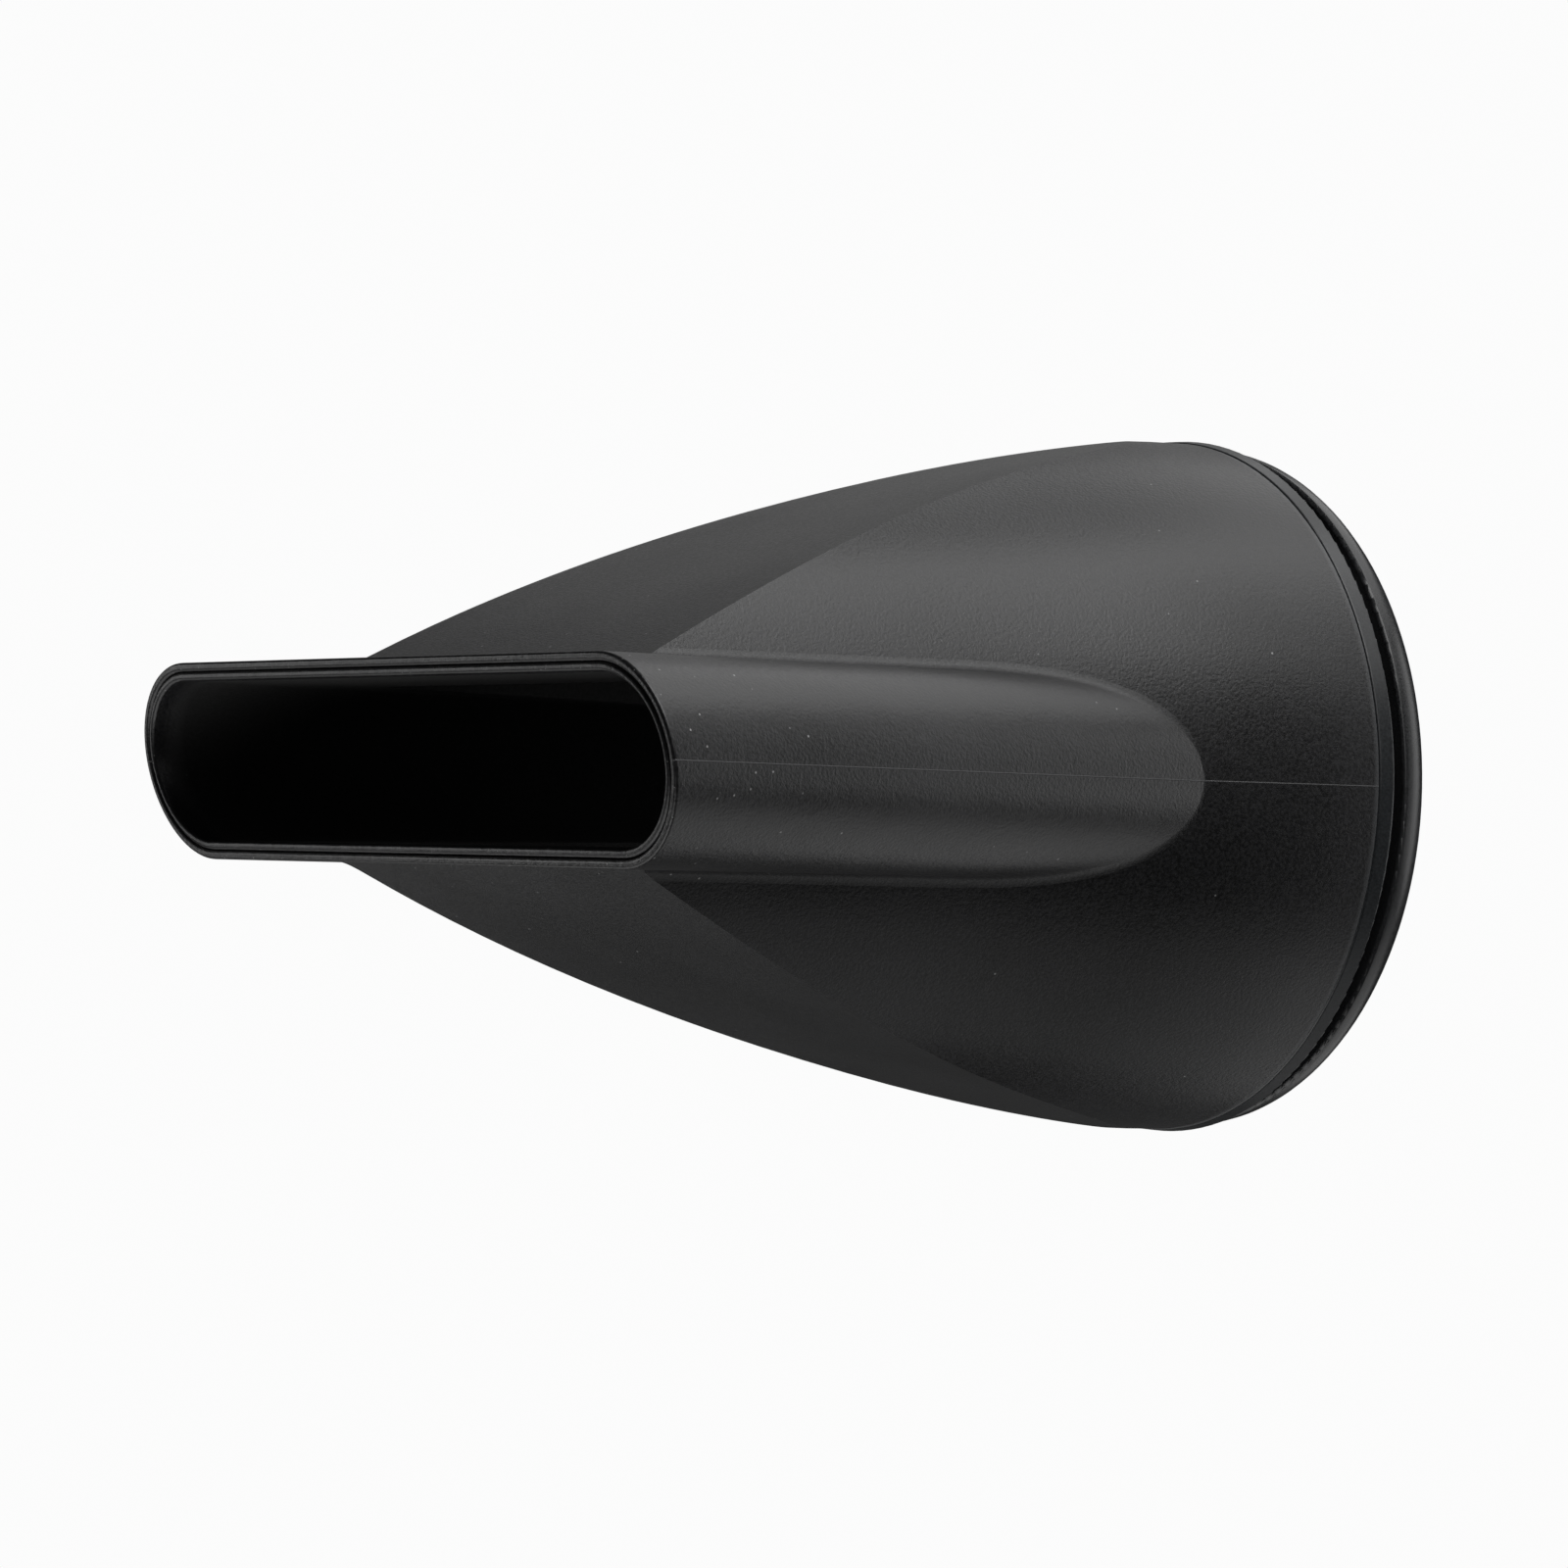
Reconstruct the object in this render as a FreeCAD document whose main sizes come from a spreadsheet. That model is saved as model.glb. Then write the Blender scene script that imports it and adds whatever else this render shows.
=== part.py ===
import FreeCAD, Part
import math
import os

import Sketcher

# Flat blower nozzle: two shell halves round an inner air liner, turning on a
# rear collar.  Millimetres.  The origin is the centre of the collar's rear
# face, +Z runs along the axis to the mouth, the slot is long in X and short
# in Y, and the upper lip (+Y) stands further forward than the lower one.

SIZES = [
    # outer form
    ("bell_radius", 31.2),
    ("bell_radius_mid", 28.3),
    ("bell_radius_front", 23.7),
    ("bell_edge_z", 7.1),
    ("bell_mid_z", 37.7),
    ("mouth_z", 88.2),
    ("mouth_slant_deg", 11.7),
    ("mouth_half_length", 42.5),
    ("mouth_half_height", 8.6),
    ("mouth_end_depth", 9.3),
    ("duct_rear_z", 14.0),
    ("duct_side_slope", 0.2),
    ("duct_rear_end_depth", 6.6),
    ("facet_mouth_height", 3.2),
    ("facet_mid_height", 21.9),
    ("facet_rear_height", 31.4),
    ("facet_mid_setback", 40.0),
    ("facet_rear_setback", 78.0),
    # walls, from the lip to the rear
    ("shell_lip_wall", 0.8),
    ("shell_wall", 1.5),
    ("liner_lip_inset", 0.83),
    ("liner_inset", 1.95),
    ("bore_lip_inset", 1.58),
    ("bore_inset", 2.95),
    ("liner_rear_z", 16.5),
    # rear rim of the shell and the band on it
    ("rim_bore_radius", 27.7),
    ("rim_front_z", 12.6),
    ("rim_nose_radius", 29.0),
    ("rim_nose_z", 4.4),
    ("band_seat_radius", 29.7),
    ("band_front_radius", 31.3),
    ("band_radius", 31.45),
    ("band_rear_z", 5.4),
    # collar
    ("flange_radius", 30.85),
    ("flange_height", 3.9),
    ("flange_rear_round", 3.4),
    ("sleeve_radius", 27.62),
    ("sleeve_top_z", 15.6),
    ("collar_bore_radius", 26.0),
    ("stop_radius", 24.4),
    ("stop_z", 14.2),
    ("seal_groove_radius", 26.8),
    ("seal_groove_low_z", 7.4),
    ("seal_groove_high_z", 9.2),
    ("snap_groove_radius", 26.85),
    ("snap_groove_low_z", 12.95),
    ("snap_groove_high_z", 14.05),
    ("snap_ring_radius", 28.8),
    ("snap_ring_height", 1.0),
    ("snap_opening_deg", 24.0),
    ("seal_radius", 27.66),
    ("grip_bore_radius", 25.0),
    ("grip_height", 13.4),
    ("grip_low_z", 0.8),
    ("grip_lead", 0.5),
    # edge rounding
    ("duct_root_round", 1.5),
    ("lip_round", 0.25),
    ("bore_lip_round", 0.3),
    ("lip_groove_round", 0.33),
    ("band_round", 0.25),
    ("flange_front_round", 0.3),
    ("seal_round", 0.3),
    # small gaps that let fitted pieces go together
    ("fit_gap", 0.02),
    ("liner_rib_height", 1.5),
]

doc = FreeCAD.newDocument("flat_nozzle")
sheet = doc.addObject("Spreadsheet::Sheet", "sizes")
for row, (alias, size) in enumerate(SIZES, start=1):
    sheet.set("A%d" % row, alias)
    sheet.set("B%d" % row, str(size))
    sheet.setAlias("B%d" % row, alias)
doc.recompute()


def size(alias):
    """A driving dimension as the sheet holds it."""
    return float(sheet.get(alias))


# ---------------------------------------------------------------- the form

FORM_OVERRUN = 6.0    # how far the form's raw solids run past the lip
HALF_WIDTH = 60.0     # half the width of the facet prism, wider than the part
OVERLAP = 0.5         # how far a cutting solid runs into the space beside it
MID_TAPER_SHARE = 1.5  # the bell's taper at its middle, against its mean taper ahead
SEARCH_MARGIN = 5.0   # how far behind the lip the duct's root edges end
SAME_PLACE = 1e-4     # two places closer than this are one


def vec(x, y, z):
    return FreeCAD.Vector(x, y, z)


def bell_solid(inset):
    """The round bell: a spline profile turned about Z."""
    low_z = size("bell_edge_z")
    top_z = size("mouth_z") + FORM_OVERRUN
    rear = vec(size("bell_radius") - inset, 0, low_z)
    middle = vec(size("bell_radius_mid") - inset, 0, size("bell_mid_z"))
    front = vec(size("bell_radius_front") - inset, 0, top_z)
    side = Part.BSplineCurve()
    taper = (front.x - middle.x) / (front.z - middle.z)
    side.interpolate(Points=[rear, middle, front],
                     Tangents=[vec(0, 0, 1), vec(MID_TAPER_SHARE * taper, 0, 1),
                               vec(taper, 0, 1)],
                     TangentFlags=[True, False, True])
    wire = Part.Wire([
        side.toShape(),
        Part.makeLine(front, vec(0, 0, top_z)),
        Part.makeLine(vec(0, 0, top_z), vec(0, 0, low_z)),
        Part.makeLine(vec(0, 0, low_z), rear),
    ])
    return Part.Face(wire).revolve(vec(0, 0, 0), vec(0, 0, 1), 360)


def facet_prism(inset):
    """The space between the two slightly bowed facets, extruded along X."""
    mouth = size("mouth_z")

    def edge(sign):
        points = []
        for setback, height in ((0.0, "facet_mouth_height"),
                                (size("facet_mid_setback"), "facet_mid_height"),
                                (size("facet_rear_setback"), "facet_rear_height")):
            points.append(vec(-HALF_WIDTH, sign * (size(height) - inset), mouth - setback))
        return points

    upper = edge(1)
    lower = edge(-1)
    rear_z = size("bell_edge_z") - OVERLAP
    front_z = mouth + FORM_OVERRUN
    corners = [vec(-HALF_WIDTH, upper[2].y, rear_z), vec(-HALF_WIDTH, upper[0].y, front_z),
               vec(-HALF_WIDTH, lower[0].y, front_z), vec(-HALF_WIDTH, lower[2].y, rear_z)]
    wire = Part.Wire([
        Part.makeLine(corners[0], upper[2]),
        Part.Arc(upper[2], upper[1], upper[0]).toShape(),
        Part.makeLine(upper[0], corners[1]),
        Part.makeLine(corners[1], corners[2]),
        Part.makeLine(corners[2], lower[0]),
        Part.Arc(lower[0], lower[1], lower[2]).toShape(),
        Part.makeLine(lower[2], corners[3]),
        Part.makeLine(corners[3], corners[0]),
    ])
    return Part.Face(wire).extrude(vec(2 * HALF_WIDTH, 0, 0))


def slot_wire(half_length, half_height, end_depth, z):
    """A flat slot with half-ellipse ends, at height z."""
    flat = half_length - end_depth

    def end(sign):
        far = vec(sign * half_length, 0, z)
        top = vec(sign * flat, half_height, z)
        long_axis, short_axis = (far, top) if end_depth >= half_height else (top, far)
        ellipse = Part.Ellipse(long_axis, short_axis, vec(sign * flat, 0, z))
        tip = ellipse.parameter(far)
        quarter = math.pi / 2
        return Part.ArcOfEllipse(ellipse, tip - quarter, tip + quarter).toShape()

    upper = Part.makeLine(vec(-flat, half_height, z), vec(flat, half_height, z))
    lower = Part.makeLine(vec(flat, -half_height, z), vec(-flat, -half_height, z))
    return Part.Wire(Part.__sortEdges__([upper, end(1), lower, end(-1)]))


def duct_solid(lip_inset, rear_inset):
    """The flat duct that widens to the mouth."""
    rear_z = size("duct_rear_z")
    front_z = size("mouth_z") + FORM_OVERRUN
    length = size("mouth_z") - rear_z
    narrowing = size("duct_side_slope") * length
    overrun = FORM_OVERRUN / length
    front_inset = lip_inset - (rear_inset - lip_inset) * overrun
    rear = slot_wire(size("mouth_half_length") - narrowing - rear_inset,
                     size("mouth_half_height") - rear_inset,
                     size("duct_rear_end_depth") - rear_inset, rear_z)
    front_depth = size("mouth_end_depth")
    front_depth -= (size("duct_rear_end_depth") - front_depth) * overrun
    front = slot_wire(size("mouth_half_length") + narrowing * overrun - front_inset,
                      size("mouth_half_height") - front_inset,
                      front_depth - front_inset, front_z)
    return Part.makeLoft([rear, front], True, True)


def lip_cutter():
    """Everything in front of the slanted mouth plane."""
    block = Part.makeBox(4 * HALF_WIDTH, 4 * HALF_WIDTH, HALF_WIDTH,
                         vec(-2 * HALF_WIDTH, -2 * HALF_WIDTH, 0))
    block.rotate(vec(0, 0, 0), vec(1, 0, 0), size("mouth_slant_deg"))
    block.translate(vec(0, 0, size("mouth_z")))
    return block


def nozzle_form(lip_inset, rear_inset):
    """The nozzle's outer form as a solid, drawn in by an inset."""
    body = bell_solid(rear_inset).common(facet_prism(rear_inset))
    form = body.fuse(duct_solid(lip_inset, rear_inset))
    return form.removeSplitter()


def disc(radius, low_z, high_z):
    """A solid disc about Z."""
    return Part.makeCylinder(radius, high_z - low_z, vec(0, 0, low_z))


def edges_where(shape, test):
    """The edges of a shape whose bounding box passes a test."""
    return [edge for edge in shape.Edges if test(edge.BoundBox)]


def lip_edges(shape):
    """The edges of a shape that lie in the slanted mouth plane."""
    slope = math.tan(math.radians(size("mouth_slant_deg")))

    def on_plane(point):
        return abs(point.z - size("mouth_z") - slope * point.y) < SAME_PLACE

    return [edge for edge in shape.Edges if all(on_plane(p) for p in edge.discretize(4))]


def middle_of(edge):
    """The point halfway along an edge."""
    return edge.valueAt((edge.FirstParameter + edge.LastParameter) / 2)


def lip_edges_inside(shape, inset):
    """The lip edges of a shape that lie within the duct drawn in by an inset."""
    core = duct_solid(inset, inset)
    return [edge for edge in lip_edges(shape) if core.isInside(middle_of(edge), SAME_PLACE, True)]


# ------------------------------------------------------------- shell halves

def rounded_outer_form():
    """The outer form with a small concave round where the duct leaves the bell."""
    form = nozzle_form(0, 0).Solids[0]
    bell_front = size("bell_radius_front") - OVERLAP
    duct_tip = size("mouth_half_length")

    def at_duct_root(box):
        beside = box.XMin > bell_front or box.XMax < -bell_front
        between = box.ZMin > size("duct_rear_z") and box.ZMax < size("mouth_z") - SEARCH_MARGIN
        return beside and between and max(abs(box.XMin), abs(box.XMax)) < duct_tip

    return form.makeFillet(size("duct_root_round"), edges_where(form, at_duct_root))


def shell_solid():
    """The whole outer shell, before it is parted along the seam."""
    edge_z = size("bell_edge_z")
    rim_front = size("rim_front_z")
    outer = rounded_outer_form().cut(lip_cutter()).Solids[0]
    outer = outer.makeFillet(size("lip_round"), lip_edges(outer))
    seat = disc(size("band_seat_radius"), size("band_rear_z"), edge_z)
    nose = disc(size("rim_nose_radius"), size("rim_nose_z"), size("band_rear_z"))
    blank = outer.fuse([seat, nose])

    hollow = nozzle_form(size("shell_lip_wall"), size("shell_wall"))
    hollow = hollow.cut(disc(HALF_WIDTH, 0, rim_front))
    bore = disc(size("rim_bore_radius"), 0, rim_front + OVERLAP)
    shell = blank.cut(hollow).cut(bore).removeSplitter().Solids[0]
    middle_wall = size("shell_lip_wall") / 2
    inner_edges = lip_edges_inside(shell, middle_wall)
    return shell.makeFillet(size("lip_groove_round"), inner_edges)


def half(solid, sign):
    """The part of a solid on one side of the seam plane."""
    corner = vec(-2 * HALF_WIDTH, 0 if sign > 0 else -2 * HALF_WIDTH, -HALF_WIDTH)
    side = Part.makeBox(4 * HALF_WIDTH, 2 * HALF_WIDTH, 4 * HALF_WIDTH, corner)
    return solid.common(side).Solids[0]


def liner_solid():
    """The inner duct, with a rib at its rear end that bears on the shell."""
    rear_z = size("liner_rear_z")
    outside = nozzle_form(size("liner_lip_inset"), size("liner_inset"))
    inside = nozzle_form(size("bore_lip_inset"), size("bore_inset"))
    bearing = size("shell_wall") + size("fit_gap")
    rib_slab = disc(HALF_WIDTH, rear_z, rear_z + size("liner_rib_height"))
    rib = nozzle_form(size("liner_lip_inset"), bearing).common(rib_slab)
    body = outside.cut(disc(HALF_WIDTH, 0, rear_z)).fuse(rib)
    liner = body.cut(inside).cut(lip_cutter()).removeSplitter().Solids[0]
    middle_wall = (size("liner_lip_inset") + size("bore_lip_inset")) / 2
    inner_edges = lip_edges_inside(liner, middle_wall)
    liner = liner.makeFillet(size("bore_lip_round"), inner_edges)
    bore = duct_solid(middle_wall, middle_wall)
    outer_edges = [edge for edge in lip_edges(liner) if not bore.isInside(middle_of(edge),
                                                                          SAME_PLACE, True)]
    return liner.makeFillet(size("lip_groove_round"), outer_edges)


def add_feature(name, shape):
    """A named sub-part whose shape is made from the sheet's sizes in code."""
    feature = doc.addObject("Part::Feature", name)
    feature.Label = name
    feature.Shape = shape
    feature.Placement = FreeCAD.Placement()
    return feature


# --------------------------------------------------------------- turned parts

def turned_body(name, corners, sweep="360"):
    """A ring turned about Z from a closed outline of (radius, z) expressions."""
    body = doc.addObject("PartDesign::Body", name)
    body.Label = name
    sketch = body.newObject("Sketcher::SketchObject", name + "_outline")
    plane = [item for item in body.Origin.OriginFeatures if item.Role == "XZ_Plane"][0]
    sketch.AttachmentSupport = [(plane, "")]
    sketch.MapMode = "FlatFace"
    places = [vec(evaluate(radius), evaluate(height), 0) for radius, height in corners]
    for index, start in enumerate(places):
        end = places[(index + 1) % len(places)]
        sketch.addGeometry(Part.LineSegment(start, end), False)
    for index, (radius, height) in enumerate(corners):
        following = (index + 1) % len(corners)
        sketch.addConstraint(Sketcher.Constraint("Coincident", index, 2, following, 1))
        across = sketch.addConstraint(
            Sketcher.Constraint("DistanceX", -1, 1, index, 1, places[index].x))
        sketch.setExpression("Constraints[%d]" % across, radius)
        if height == "0":
            sketch.addConstraint(Sketcher.Constraint("PointOnObject", index, 1, -1))
        else:
            up = sketch.addConstraint(
                Sketcher.Constraint("DistanceY", -1, 1, index, 1, places[index].y))
            sketch.setExpression("Constraints[%d]" % up, height)
    turn = body.newObject("PartDesign::Revolution", name + "_turn")
    turn.Profile = sketch
    turn.ReferenceAxis = (sketch, ["V_Axis"])
    turn.setExpression("Angle", sweep)
    doc.recompute()
    return body


def evaluate(expression):
    """The value of a sum of sheet sizes such as "sizes.a - sizes.b"."""
    total = 0.0
    sign = 1.0
    for word in expression.split():
        if word in ("+", "-"):
            sign = 1.0 if word == "+" else -1.0
        elif word.startswith("sizes."):
            total += sign * size(word[len("sizes."):])
        else:
            total += sign * float(word)
    return total


def round_circles(body, places, radius_alias):
    """Fillet the circular edges at the given (radius, z) places of a body's tip."""
    tip = body.Tip
    names = []
    for number, edge in enumerate(tip.Shape.Edges, start=1):
        curve = edge.Curve
        if not isinstance(curve, Part.Circle):
            continue
        for radius, height in places:
            same_radius = abs(curve.Radius - radius) < SAME_PLACE
            if same_radius and abs(curve.Center.z - height) < SAME_PLACE:
                names.append("Edge%d" % number)
    fillet = body.newObject("PartDesign::Fillet", body.Name + "_" + radius_alias)
    fillet.Base = (tip, names)
    fillet.setExpression("Radius", "sizes." + radius_alias)
    doc.recompute()


def make_rim_band():
    band = turned_body("rim_band", [
        ("sizes.band_seat_radius + sizes.fit_gap", "sizes.band_rear_z"),
        ("sizes.band_radius", "sizes.band_rear_z"),
        ("sizes.band_front_radius", "sizes.bell_edge_z"),
        ("sizes.band_seat_radius + sizes.fit_gap", "sizes.bell_edge_z"),
    ])
    rear = (size("band_radius"), size("band_rear_z"))
    front = (size("band_front_radius"), size("bell_edge_z"))
    round_circles(band, [rear, front], "band_round")
    return band


def make_swivel_collar():
    collar = turned_body("swivel_collar", [
        ("sizes.collar_bore_radius", "0"),
        ("sizes.flange_radius", "0"),
        ("sizes.flange_radius", "sizes.flange_height"),
        ("sizes.sleeve_radius", "sizes.flange_height"),
        ("sizes.sleeve_radius", "sizes.seal_groove_low_z"),
        ("sizes.seal_groove_radius", "sizes.seal_groove_low_z"),
        ("sizes.seal_groove_radius", "sizes.seal_groove_high_z"),
        ("sizes.sleeve_radius", "sizes.seal_groove_high_z"),
        ("sizes.sleeve_radius", "sizes.snap_groove_low_z"),
        ("sizes.snap_groove_radius", "sizes.snap_groove_low_z"),
        ("sizes.snap_groove_radius", "sizes.snap_groove_high_z"),
        ("sizes.sleeve_radius", "sizes.snap_groove_high_z"),
        ("sizes.sleeve_radius", "sizes.sleeve_top_z"),
        ("sizes.stop_radius", "sizes.sleeve_top_z"),
        ("sizes.stop_radius", "sizes.stop_z"),
        ("sizes.collar_bore_radius", "sizes.stop_z"),
    ])
    flange = size("flange_radius")
    round_circles(collar, [(flange, 0.0)], "flange_rear_round")
    round_circles(collar, [(flange, size("flange_height"))], "flange_front_round")
    return collar


def make_grip_sleeve():
    return turned_body("grip_sleeve", [
        ("sizes.grip_bore_radius + sizes.grip_lead", "sizes.grip_low_z"),
        ("sizes.collar_bore_radius", "sizes.grip_low_z"),
        ("sizes.collar_bore_radius", "sizes.grip_low_z + sizes.grip_height"),
        ("sizes.grip_bore_radius", "sizes.grip_low_z + sizes.grip_height"),
        ("sizes.grip_bore_radius", "sizes.grip_low_z + sizes.grip_lead"),
    ])


def make_seal_ring():
    seal = turned_body("seal_ring", [
        ("sizes.seal_groove_radius", "sizes.seal_groove_low_z + sizes.fit_gap"),
        ("sizes.seal_radius", "sizes.seal_groove_low_z + sizes.fit_gap"),
        ("sizes.seal_radius", "sizes.seal_groove_high_z - sizes.fit_gap"),
        ("sizes.seal_groove_radius", "sizes.seal_groove_high_z - sizes.fit_gap"),
    ])
    low = size("seal_groove_low_z") + size("fit_gap")
    high = size("seal_groove_high_z") - size("fit_gap")
    round_circles(seal, [(size("seal_radius"), low), (size("seal_radius"), high)],
                  "seal_round")
    return seal


def make_snap_ring():
    return turned_body("snap_ring", [
        ("sizes.snap_groove_radius", "sizes.snap_groove_low_z + sizes.fit_gap"),
        ("sizes.snap_ring_radius", "sizes.snap_groove_low_z + sizes.fit_gap"),
        ("sizes.snap_ring_radius", "sizes.snap_groove_low_z + sizes.fit_gap + sizes.snap_ring_height"),
        ("sizes.snap_groove_radius", "sizes.snap_groove_low_z + sizes.fit_gap + sizes.snap_ring_height"),
    ], sweep="360 - sizes.snap_opening_deg")


# ------------------------------------------------------------------- assembly

shell = shell_solid()
parts = [
    add_feature("upper_shell", half(shell, 1)),
    add_feature("lower_shell", half(shell, -1)),
    add_feature("air_liner", liner_solid()),
    make_rim_band(),
    make_swivel_collar(),
    make_grip_sleeve(),
    make_seal_ring(),
    make_snap_ring(),
]
doc.recompute()

for item in doc.Objects:
    for fault in ("Invalid", "Error"):
        if fault in item.State:
            raise RuntimeError("%s is %s" % (item.Name, fault))

os.makedirs("parts", exist_ok=True)
for part in parts:
    solid = part.Shape
    if solid.isNull() or not solid.isValid() or len(solid.Solids) != 1:
        raise RuntimeError("%s is not one valid solid" % part.Label)
    solid.exportStep("parts/%s.step" % part.Label)
    box = solid.BoundBox
    print("%-14s %9.1f mm3  x %6.2f %6.2f  y %6.2f %6.2f  z %6.2f %6.2f"
          % (part.Label, solid.Volume, box.XMin, box.XMax, box.YMin, box.YMax,
             box.ZMin, box.ZMax))
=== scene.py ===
import math

import bpy
from mathutils import Matrix, Vector

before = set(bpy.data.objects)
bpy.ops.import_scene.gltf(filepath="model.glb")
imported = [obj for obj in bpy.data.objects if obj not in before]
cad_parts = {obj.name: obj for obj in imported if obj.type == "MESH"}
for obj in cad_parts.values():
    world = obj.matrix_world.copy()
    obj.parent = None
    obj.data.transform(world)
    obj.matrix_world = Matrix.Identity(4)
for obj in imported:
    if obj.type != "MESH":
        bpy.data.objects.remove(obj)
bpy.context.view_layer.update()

# Looks for the flat blower nozzle: black moulded plastic with a fine
# spark-eroded grain.  Metres, in the frame of the CAD model: +Z towards the
# mouth, X along the slot, +Y towards the upper lip.

MM = 0.001
BROAD_CELLS = 45.0          # cells per metre of the slow unevenness of colour and gloss
BROAD_DETAIL = 3.0
BROAD_SPREAD = (0.3, 0.7)   # where nearly all of the slow noise lies
FINE_ROUGHNESS = 0.6
FINE_SPREAD = (0.35, 0.65)  # where nearly all of the grain's noise lies
BROAD_GLOSS_CHANGE = 0.03   # how much the slow noise changes the roughness, up and down
FINE_GLOSS_CHANGE = 0.04    # how much the grain does
RIM_HIGHLIGHT_SHARE = (0.35, 0.6)  # where the slow noise makes the painted highlight on the bell's rear edge half and fully bright
SEAM_HALF_WIDTH_MM = 0.07   # the parting line's half width on the shell's flanks
SEAM_HIGHLIGHT_LIGHTER = 3.5          # how much lighter the parting line is painted than the plastic: a painted highlight along its real ridge
SEAM_RIDGE = 0.9            # the parting line's height against the grain's
RIM_HIGHLIGHT_MM = (7.1, 7.65)   # the bell's rear edge, lightened with a painted highlight, and where the painted highlight ends
# the lighter colour of the painted highlight on the bell's rear edge
RIM_HIGHLIGHT_COLOUR = (0.075, 0.077, 0.08)
DUST_COLOUR = (0.50, 0.50, 0.50)
# the near-black painted shade inside the liner's bore
BORE_SHADE_COLOUR = (0.0012, 0.0012, 0.0012)
BORE_ROUGHER = 0.5          # how much rougher the bore is than the lip
BORE_FADE_MM = (0.9, 3.0)   # where the liner's satin lip fades to its rougher bore, darkened with painted shade
DUST_SPECK_SHARE = 0.1      # a speck's radius against the room it has to itself
DUST_CELL_MM = 1.3          # the room each speck of dust has to itself on the flanks
DUST_AT_LIP = 10.0          # how much more dust lies at the lip than at the rear
DUST_REACH_MM = 25.0        # how far behind the lip the dust has thinned out
LIP_DUST_CELL_MM = 0.75     # the room for each speck caught in the lip's joint
LIP_DUST_SHARE = 0.9        # the share of those cells that hold a speck
LIP_DUST_REACH_MM = 1.3     # how far behind the lip plane the joint's specks reach
LIP_Z_MM = 88.2             # the mouth plane's height on the axis
LIP_SLOPE = 0.207           # how much further forward the upper lip stands, per metre of Y

# ------------------------------------------------------------------ materials


def new_material(name):
    """An empty node material; returns it with its node tree's nodes and links."""
    material = bpy.data.materials.new(name)
    material.use_nodes = True
    nodes = material.node_tree.nodes
    nodes.clear()
    return material, nodes, material.node_tree.links


def noise(nodes, links, coords, scale, detail=2.0, roughness=0.5):
    """A noise texture over the object's own coordinates, scale in cells per metre."""
    node = nodes.new("ShaderNodeTexNoise")
    node.inputs["Scale"].default_value = scale
    node.inputs["Detail"].default_value = detail
    node.inputs["Roughness"].default_value = roughness
    links.new(coords, node.inputs["Vector"])
    return node.outputs["Fac"]


def remap(nodes, links, value, low, high, start=0.0, end=1.0):
    """Maps a value from start..end to low..high."""
    node = nodes.new("ShaderNodeMapRange")
    node.inputs["From Min"].default_value = start
    node.inputs["From Max"].default_value = end
    node.inputs["To Min"].default_value = low
    node.inputs["To Max"].default_value = high
    links.new(value, node.inputs["Value"])
    return node.outputs["Result"]


def math_node(nodes, links, operation, first, second=None):
    """A math node; its inputs are sockets or plain numbers."""
    node = nodes.new("ShaderNodeMath")
    node.operation = operation
    for index, value in enumerate((first, second)):
        if value is None:
            continue
        if isinstance(value, (int, float)):
            node.inputs[index].default_value = value
        else:
            links.new(value, node.inputs[index])
    return node.outputs["Value"]


def mix_colour(nodes, links, factor, first, second):
    """A colour mix; first and second are sockets or plain colours."""
    node = nodes.new("ShaderNodeMix")
    node.data_type = "RGBA"
    for name, value in (("A", first), ("B", second)):
        if isinstance(value, tuple):
            node.inputs[name].default_value = (*value, 1)
        else:
            links.new(value, node.inputs[name])
    links.new(factor, node.inputs["Factor"])
    return node.outputs["Result"]


def depth_behind_lip(nodes, links, place):
    """How far behind the slanted mouth plane a point lies, in metres."""
    slant = math_node(nodes, links, "MULTIPLY", place.outputs["Y"], LIP_SLOPE)
    plane = math_node(nodes, links, "ADD", slant, LIP_Z_MM * MM)
    return math_node(nodes, links, "SUBTRACT", plane, place.outputs["Z"])


def dust_specks(nodes, links, coords, cell_mm, share):
    """1 inside rare tiny specks and 0 elsewhere; a socket says what share of cells has one."""
    cells = nodes.new("ShaderNodeTexVoronoi")
    cells.inputs["Scale"].default_value = 1.0 / (cell_mm * MM)
    links.new(coords, cells.inputs["Vector"])
    near = remap(nodes, links, cells.outputs["Distance"], 1.0, 0.0, 0.0, DUST_SPECK_SHARE)
    split = nodes.new("ShaderNodeSeparateColor")
    links.new(cells.outputs["Color"], split.inputs["Color"])
    chosen = math_node(nodes, links, "LESS_THAN", split.outputs["Red"], share)
    return math_node(nodes, links, "MULTIPLY", near, chosen)


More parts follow.
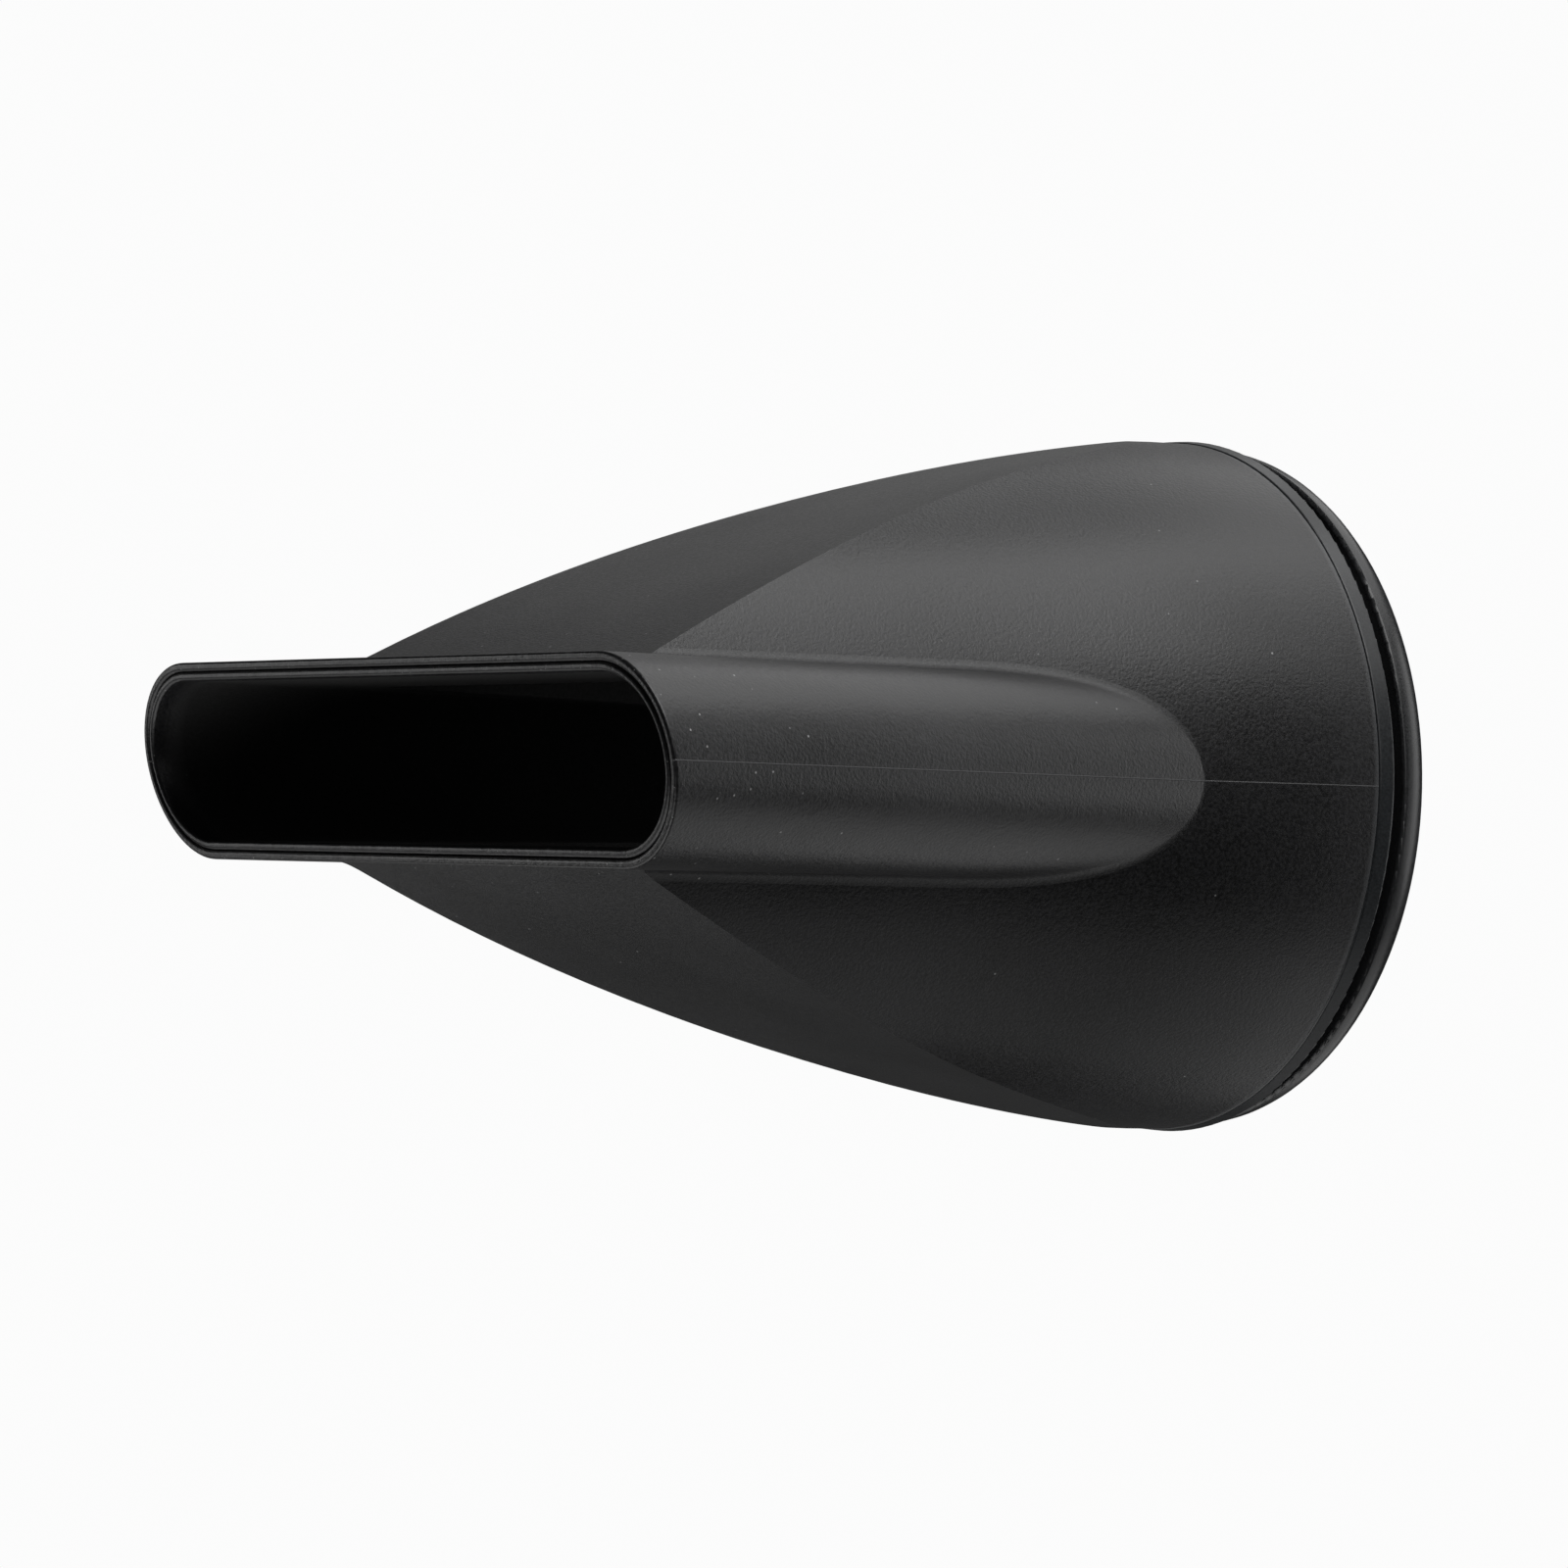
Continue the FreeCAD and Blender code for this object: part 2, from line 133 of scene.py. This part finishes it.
def moulded_plastic(name, colour, roughness, grain_mm=0.30, grain_depth_mm=0.034,
                    mottle=0.8, dust=0.0, seam_and_rim_highlight=False, shaded_dull_bore=False, metallic=0.0):
    """A moulded or turned surface: grain, mottling and uneven gloss.

    The seam option adds the parting line, with a painted highlight along it, and a painted
    highlight on the bell's rear edge; dust adds specks that lie thickest at the lip; and
    shaded_dull_bore roughens what lies behind the lip and darkens it with painted shade.
    """
    material, nodes, links = new_material(name)
    output = nodes.new("ShaderNodeOutputMaterial")
    shader = nodes.new("ShaderNodeBsdfPrincipled")
    links.new(shader.outputs["BSDF"], output.inputs["Surface"])
    shader.inputs["Metallic"].default_value = metallic
    coords = nodes.new("ShaderNodeTexCoord").outputs["Object"]

    broad = noise(nodes, links, coords, BROAD_CELLS, BROAD_DETAIL)
    fine = noise(nodes, links, coords, 1.0 / (grain_mm * MM), roughness=FINE_ROUGHNESS)
    shade = math_node(nodes, links, "ADD", remap(nodes, links, broad, 0.0, 0.5, *BROAD_SPREAD),
                      remap(nodes, links, fine, 0.0, 0.5, *FINE_SPREAD))
    colour_out = mix_colour(nodes, links, shade, tuple(c * (1 - mottle) for c in colour),
                            tuple(c * (1 + mottle) for c in colour))
    height = fine
    place = nodes.new("ShaderNodeSeparateXYZ")
    links.new(coords, place.inputs["Vector"])
    depth = depth_behind_lip(nodes, links, place)

    if seam_and_rim_highlight:
        across = math_node(nodes, links, "ABSOLUTE", place.outputs["Y"])
        line = remap(nodes, links, across, 1.0, 0.0, 0.0, SEAM_HALF_WIDTH_MM * MM)
        # the parting line is real and raised as a ridge in the bump below; its lighter colour is
        # a painted highlight
        colour_out = mix_colour(nodes, links, line, colour_out,
                                tuple(c * SEAM_HIGHLIGHT_LIGHTER for c in colour))
        height = math_node(nodes, links, "ADD", fine,
                           math_node(nodes, links, "MULTIPLY", line, SEAM_RIDGE))
        # painted highlight on the bell's rear edge: lighter colour below its height, broken up by
        # the slow noise
        rim_highlight_band = remap(nodes, links, place.outputs["Z"], 1.0, 0.0,
                       RIM_HIGHLIGHT_MM[0] * MM, RIM_HIGHLIGHT_MM[1] * MM)
        patchy_rim_highlight = math_node(nodes, links, "MULTIPLY", rim_highlight_band,
                           remap(nodes, links, broad, 0.5, 1.0, *RIM_HIGHLIGHT_SHARE))
        colour_out = mix_colour(nodes, links, patchy_rim_highlight, colour_out, RIM_HIGHLIGHT_COLOUR)
    if dust:
        on_flanks = remap(nodes, links, depth, dust * DUST_AT_LIP, dust, 0.0, DUST_REACH_MM * MM)
        in_joint = remap(nodes, links, depth, LIP_DUST_SHARE, 0.0, 0.0, LIP_DUST_REACH_MM * MM)
        for cell_mm, share in ((DUST_CELL_MM, on_flanks), (LIP_DUST_CELL_MM, in_joint)):
            specks = dust_specks(nodes, links, coords, cell_mm, share)
            colour_out = mix_colour(nodes, links, specks, colour_out, DUST_COLOUR)
    if shaded_dull_bore:
        # behind the lip the bore's colour is darkened with painted shade, and the same mask
        # roughens it
        inside = remap(nodes, links, depth, 0.0, 1.0, BORE_FADE_MM[0] * MM, BORE_FADE_MM[1] * MM)
        colour_out = mix_colour(nodes, links, inside, colour_out, BORE_SHADE_COLOUR)
    links.new(colour_out, shader.inputs["Base Color"])

    rough = math_node(nodes, links, "ADD",
                      remap(nodes, links, broad, roughness - BROAD_GLOSS_CHANGE,
                            roughness + BROAD_GLOSS_CHANGE, *BROAD_SPREAD),
                      remap(nodes, links, fine, -FINE_GLOSS_CHANGE, FINE_GLOSS_CHANGE,
                            *FINE_SPREAD))
    if shaded_dull_bore:
        rough = math_node(nodes, links, "ADD", rough,
                          remap(nodes, links, inside, 0.0, BORE_ROUGHER))
    links.new(rough, shader.inputs["Roughness"])

    bump = nodes.new("ShaderNodeBump")
    bump.inputs["Strength"].default_value = 1.0
    bump.inputs["Distance"].default_value = grain_depth_mm * MM
    links.new(height, bump.inputs["Height"])
    links.new(bump.outputs["Normal"], shader.inputs["Normal"])
    return material


def dress(node, material):
    """Gives a CAD node a material of its own."""
    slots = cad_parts[node].data.materials
    slots.clear()
    slots.append(material)


shell = moulded_plastic("shell_grain", (0.013, 0.013, 0.0138), 0.36, dust=0.06, seam_and_rim_highlight=True)
dress("upper_shell", shell)
dress("lower_shell", shell)
dress("air_liner", moulded_plastic("liner_satin", (0.010, 0.010, 0.011), 0.36, dust=0.05,
                                   shaded_dull_bore=True))
dress("rim_band", moulded_plastic("band_satin", (0.013, 0.0145, 0.016), 0.33, 0.2, 0.002))
dress("swivel_collar", moulded_plastic("collar_satin", (0.013, 0.0135, 0.0145), 0.30, 0.2, 0.002))
dress("grip_sleeve", moulded_plastic("grip_rubber", (0.012, 0.012, 0.012), 0.7, 0.5, 0.02))
dress("seal_ring", moulded_plastic("seal_rubber", (0.010, 0.010, 0.010), 0.6, 0.5, 0.01))
dress("snap_ring", moulded_plastic("spring_steel", (0.42, 0.42, 0.43), 0.3, 0.4, 0.003,
                                   metallic=1.0))

# --------------------------------------------------------------------- camera

VIEW_AIM = Vector((-1.57, -0.89, 47.24)) * MM
VIEW_DISTANCE = 531.9 * MM
VIEW_AZIMUTH = math.radians(-0.92)
VIEW_ELEVATION = math.radians(34.73)
VIEW_ROLL = math.radians(-1.29)
LENS_MM = 139.5
SENSOR_MM = 36.0


def set_camera():
    """The camera looks past the mouth at the nozzle's side, with +Y upwards."""
    towards = Vector((math.cos(VIEW_ELEVATION) * math.cos(VIEW_AZIMUTH),
                      math.cos(VIEW_ELEVATION) * math.sin(VIEW_AZIMUTH),
                      math.sin(VIEW_ELEVATION)))
    right = Vector((0, 1, 0)).cross(towards).normalized()
    up = towards.cross(right)
    axes = Matrix((right, up, towards)).transposed()
    axes = Matrix.Rotation(VIEW_ROLL, 3, -towards) @ axes
    data = bpy.data.cameras.new("photo_view")
    data.lens = LENS_MM
    data.sensor_width = SENSOR_MM
    data.clip_start = 0.01
    data.clip_end = 20.0
    camera = bpy.data.objects.new("photo_view", data)
    bpy.context.scene.collection.objects.link(camera)
    place = VIEW_AIM + towards * VIEW_DISTANCE
    camera.matrix_world = Matrix.Translation(place) @ axes.to_4x4()
    bpy.context.scene.camera = camera


# ---------------------------------------------------------------------- stage

FLOOR_HALF = 6.0            # half the table's width
FLOOR_GLOW = 0.97           # the white of the table and the backdrop
ROOM_GLOW = 0.01            # the dim light of the room on the part
LIGHT_CENTRE = Vector((0.0, 0.0, 0.045))
LIGHT_DISTANCE = 0.8        # from the part's middle to each softbox

# name, azimuth from +X and elevation in degrees, width, height, watts
SOFTBOXES = [
    ("key_low", 58, -3, 0.65, 0.50, 3.3),
    ("overhead_key", 58, -22, 0.70, 0.62, 1.7),
    ("overhead_back", 100, -42, 0.75, 0.50, 1.3),
    ("rear_side", 15, -72, 0.70, 0.40, 1.2),
    ("side_right", 20, 0, 0.50, 0.50, 0.8),
    ("fill_front", 270, 30, 0.60, 0.60, 2.0),
    ("low_fill", 268, -52, 0.75, 0.34, 0.55),
    ("low_side", 285, -25, 0.80, 0.55, 0.35),
    ("fill_left", 232, 14, 0.70, 0.60, 1.0),
    ("front_rim", 180, 30, 0.34, 0.34, 0.6),
    ("back_high", 150, -28, 0.50, 0.40, 0.2),
    ("back_low", 210, -28, 0.50, 0.40, 0.03),
]


def add_floor():
    """A plain white self-lit table under the collar's rear face, with lamps beneath it too."""
    material, nodes, links = new_material("light_table")
    output = nodes.new("ShaderNodeOutputMaterial")
    glow = nodes.new("ShaderNodeEmission")
    glow.inputs["Color"].default_value = (1.0, 1.0, 1.0, 1)
    glow.inputs["Strength"].default_value = FLOOR_GLOW
    links.new(glow.outputs["Emission"], output.inputs["Surface"])
    mesh = bpy.data.meshes.new("floor")
    mesh.from_pydata([(-FLOOR_HALF, -FLOOR_HALF, 0), (FLOOR_HALF, -FLOOR_HALF, 0),
                      (FLOOR_HALF, FLOOR_HALF, 0), (-FLOOR_HALF, FLOOR_HALF, 0)],
                     [], [(0, 1, 2, 3)])
    mesh.materials.append(material)
    floor = bpy.data.objects.new("floor", mesh)
    bpy.context.scene.collection.objects.link(floor)
    floor.visible_shadow = False
    floor.visible_glossy = False
    floor.visible_diffuse = False


def add_softbox(name, azimuth, elevation, width, height, watts):
    """A rectangular area light that faces the part; its angles are in degrees."""
    data = bpy.data.lights.new(name, "AREA")
    data.shape = "RECTANGLE"
    data.size = width
    data.size_y = height
    data.energy = watts
    light = bpy.data.objects.new(name, data)
    bpy.context.scene.collection.objects.link(light)
    turn = math.radians(azimuth)
    rise = math.radians(elevation)
    outwards = Vector((math.cos(rise) * math.cos(turn), math.cos(rise) * math.sin(turn),
                       math.sin(rise)))
    facing = outwards.to_track_quat("Z", "Y").to_matrix().to_4x4()
    light.matrix_world = Matrix.Translation(LIGHT_CENTRE + outwards * LIGHT_DISTANCE) @ facing
    light.visible_camera = False


def add_surroundings():
    """A white backdrop to the camera, and a dark room to the part."""
    world = bpy.data.worlds.new("studio")
    world.use_nodes = True
    nodes = world.node_tree.nodes
    links = world.node_tree.links
    room = nodes["Background"]
    room.inputs["Color"].default_value = (1, 1, 1, 1)
    room.inputs["Strength"].default_value = ROOM_GLOW
    backdrop = nodes.new("ShaderNodeBackground")
    backdrop.inputs["Color"].default_value = (1, 1, 1, 1)
    backdrop.inputs["Strength"].default_value = FLOOR_GLOW
    choose = nodes.new("ShaderNodeMixShader")
    path = nodes.new("ShaderNodeLightPath")
    links.new(path.outputs["Is Camera Ray"], choose.inputs["Fac"])
    links.new(room.outputs["Background"], choose.inputs[1])
    links.new(backdrop.outputs["Background"], choose.inputs[2])
    links.new(choose.outputs["Shader"], nodes["World Output"].inputs["Surface"])
    bpy.context.scene.world = world


set_camera()
add_floor()
add_surroundings()
for softbox in SOFTBOXES:
    add_softbox(*softbox)
bpy.context.scene.view_settings.view_transform = "Standard"
